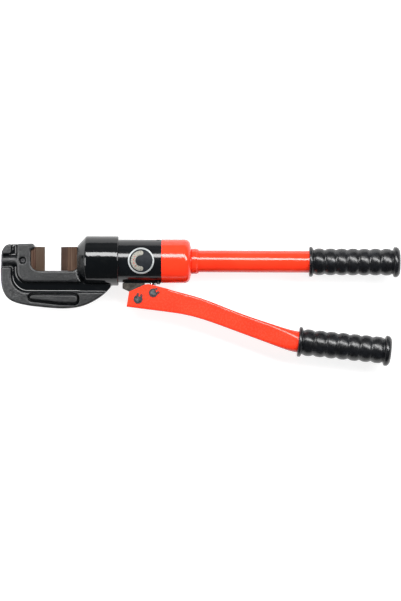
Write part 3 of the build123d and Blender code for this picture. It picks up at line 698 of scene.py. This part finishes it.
class BARCUTTER_OT_pump(Operator):
    """Pump plunger, its eye and seals, the fulcrum lug and the valves"""
    bl_idname = "barcutter.pump"
    bl_label = "Pump"

    def execute(self, context):
        dress("bare_cast_steel", "fulcrum_lug")
        dress("blackened_steel", "lug_screws", "plunger_eye", "plunger_gland", "release_pin",
              "release_plug", "relief_adjuster")
        dress("hard_chrome_plate", "plunger")
        dress("nitrile_rubber", "plunger_seal")
        dress("lapped_ball_steel", "delivery_ball", "suction_ball", "relief_ball", "release_ball")
        dress("drawn_spring_steel", "delivery_spring", "suction_spring", "relief_spring",
              "release_spring", "delivery_plug")
        dress("turned_brass", "suction_seat")
        return {"FINISHED"}


# ---------------------------------------------------------------- studio

def soft_box(name, across, along, place, aim, radiance):
    """Rectangular area light with that radiance, turned towards aim, its long side along X."""
    data = bpy.data.lights.new(name, "AREA")
    data.shape = "RECTANGLE"
    data.size, data.size_y = along, across
    data.energy = radiance * math.pi * along * across
    light = bpy.data.objects.new(name, data)
    light.location = place
    direction = Vector(aim) - Vector(place)
    light.rotation_euler = direction.to_track_quat("-Z", "Y").to_euler()
    light.visible_camera = False
    bpy.context.scene.collection.objects.link(light)


def studio_floor():
    """Plain pale sheet that the tool lies on; it glows a little, so that its shadow stays faint."""
    mesh = bpy.data.meshes.new("floor")
    sheet = bmesh.new()
    bmesh.ops.create_circle(sheet, cap_ends=True, segments=64, radius=9.0)
    bmesh.ops.translate(sheet, verts=sheet.verts, vec=(0, 0, -0.0005))
    sheet.to_mesh(mesh)
    sheet.free()
    floor = bpy.data.objects.new("floor", mesh)
    bpy.context.scene.collection.objects.link(floor)
    material, _, shader, _ = new_material("pale_paper", Roughness=0.9, Emission_Strength=0.85)
    shader.inputs["Base Color"].default_value = (0.3, 0.3, 0.3, 1)
    shader.inputs["Emission Color"].default_value = (1, 1, 1, 1)
    mesh.materials.append(material)


def studio_world(walls, ceiling):
    """Pale walls round the table, brightest beyond the tool, under a dark ceiling. The camera
    sees them as white."""
    world = bpy.data.worlds.new("studio")
    world.use_nodes = True
    tree = world.node_tree
    tree.nodes.clear()
    direction = add_node(tree, "ShaderNodeTexCoord").outputs["Generated"]
    axes = add_node(tree, "ShaderNodeSeparateXYZ", {0: direction})
    side = add_node(tree, "ShaderNodeVectorMath", {0: direction, 1: BRIGHT_WALL}, operation="DOT_PRODUCT")
    lit = spread(tree, side.outputs["Value"], -0.5, 0.6, 0.08, walls)
    share = spread(tree, axes.outputs["Z"], 0.05, 0.55)
    strength = add_node(tree, "ShaderNodeMix", {0: share, 2: lit, 3: ceiling}).outputs[0]
    seen = add_node(tree, "ShaderNodeLightPath").outputs["Is Camera Ray"]
    strength = add_node(tree, "ShaderNodeMix", {0: seen, 2: strength, 3: 1.0}).outputs[0]
    background = add_node(tree, "ShaderNodeBackground", {"Color": (1, 1, 1, 1), "Strength": strength})
    add_node(tree, "ShaderNodeOutputWorld", {"Surface": background.outputs["Background"]})
    return world


class BARCUTTER_OT_studio(Operator):
    """Pale floor, soft lights and the camera above the tool"""
    bl_idname = "barcutter.studio"
    bl_label = "Studio"

    def execute(self, context):
        scene = context.scene
        studio = scene.bar_cutter_studio
        studio_floor()
        aim = (0.0, 0.03, 0.03)
        strip_place = (0.25, aim[1] + STRIP_REACH * math.sin(STRIP_TILT), STRIP_REACH * math.cos(STRIP_TILT))
        soft_box("strip_light", 0.48, 3.2, strip_place, aim, studio.key)
        soft_box("far_box", 1.6, 2.6, (0.0, 1.9, 1.3), aim, studio.fill)
        soft_box("left_box", 0.5, 0.26, (-0.6, 0.02, 0.3), (-0.42, 0.02, 0.0), studio.side)
        scene.world = studio_world(studio.horizon, studio.overhead)

        data = bpy.data.cameras.new("camera")
        data.sensor_width = 36.0
        data.lens = data.sensor_width * studio.distance / studio.field
        camera = bpy.data.objects.new("camera", data)
        camera.location = (0.0, 0.0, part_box("c_head")[1].z / 2 + studio.distance)
        camera.rotation_euler = Euler((0, 0, studio.roll))
        scene.collection.objects.link(camera)
        scene.camera = camera
        scene.view_settings.view_transform = "Standard"
        return {"FINISHED"}


# ---------------------------------------------------------------- add-on

OPERATORS = (
    BARCUTTER_OT_head, BARCUTTER_OT_blades, BARCUTTER_OT_cylinder, BARCUTTER_OT_badge,
    BARCUTTER_OT_handle, BARCUTTER_OT_grips, BARCUTTER_OT_lever, BARCUTTER_OT_pump,
    BARCUTTER_OT_studio,
)


class BARCUTTER_PT_panel(Panel):
    """Lists the pieces, the studio and their settings"""
    bl_idname = "BARCUTTER_PT_panel"
    bl_label = "Bar cutter"
    bl_space_type = "VIEW_3D"
    bl_region_type = "UI"
    bl_category = "Bar cutter"

    def draw(self, context):
        for group in (context.scene.bar_cutter_paint, context.scene.bar_cutter_sizes,
                      context.scene.bar_cutter_studio):
            for name in group.bl_rna.properties.keys():
                if name not in ("rna_type", "name"):
                    self.layout.prop(group, name)
        for operator in OPERATORS:
            self.layout.operator(operator.bl_idname)


CLASSES = (BarCutterPaint, BarCutterSizes, BarCutterStudio, *OPERATORS, BARCUTTER_PT_panel)


def register():
    for cls in CLASSES:
        bpy.utils.register_class(cls)
    bpy.types.Scene.bar_cutter_paint = PointerProperty(type=BarCutterPaint)
    bpy.types.Scene.bar_cutter_sizes = PointerProperty(type=BarCutterSizes)
    bpy.types.Scene.bar_cutter_studio = PointerProperty(type=BarCutterStudio)


def unregister():
    del bpy.types.Scene.bar_cutter_studio
    del bpy.types.Scene.bar_cutter_sizes
    del bpy.types.Scene.bar_cutter_paint
    for cls in reversed(CLASSES):
        bpy.utils.unregister_class(cls)


def main():
    """Makes every piece and the studio."""
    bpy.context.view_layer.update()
    register()
    for operator in OPERATORS:
        group, name = operator.bl_idname.split(".")
        getattr(getattr(bpy.ops, group), name)()


if __name__ == "__main__":
    main()
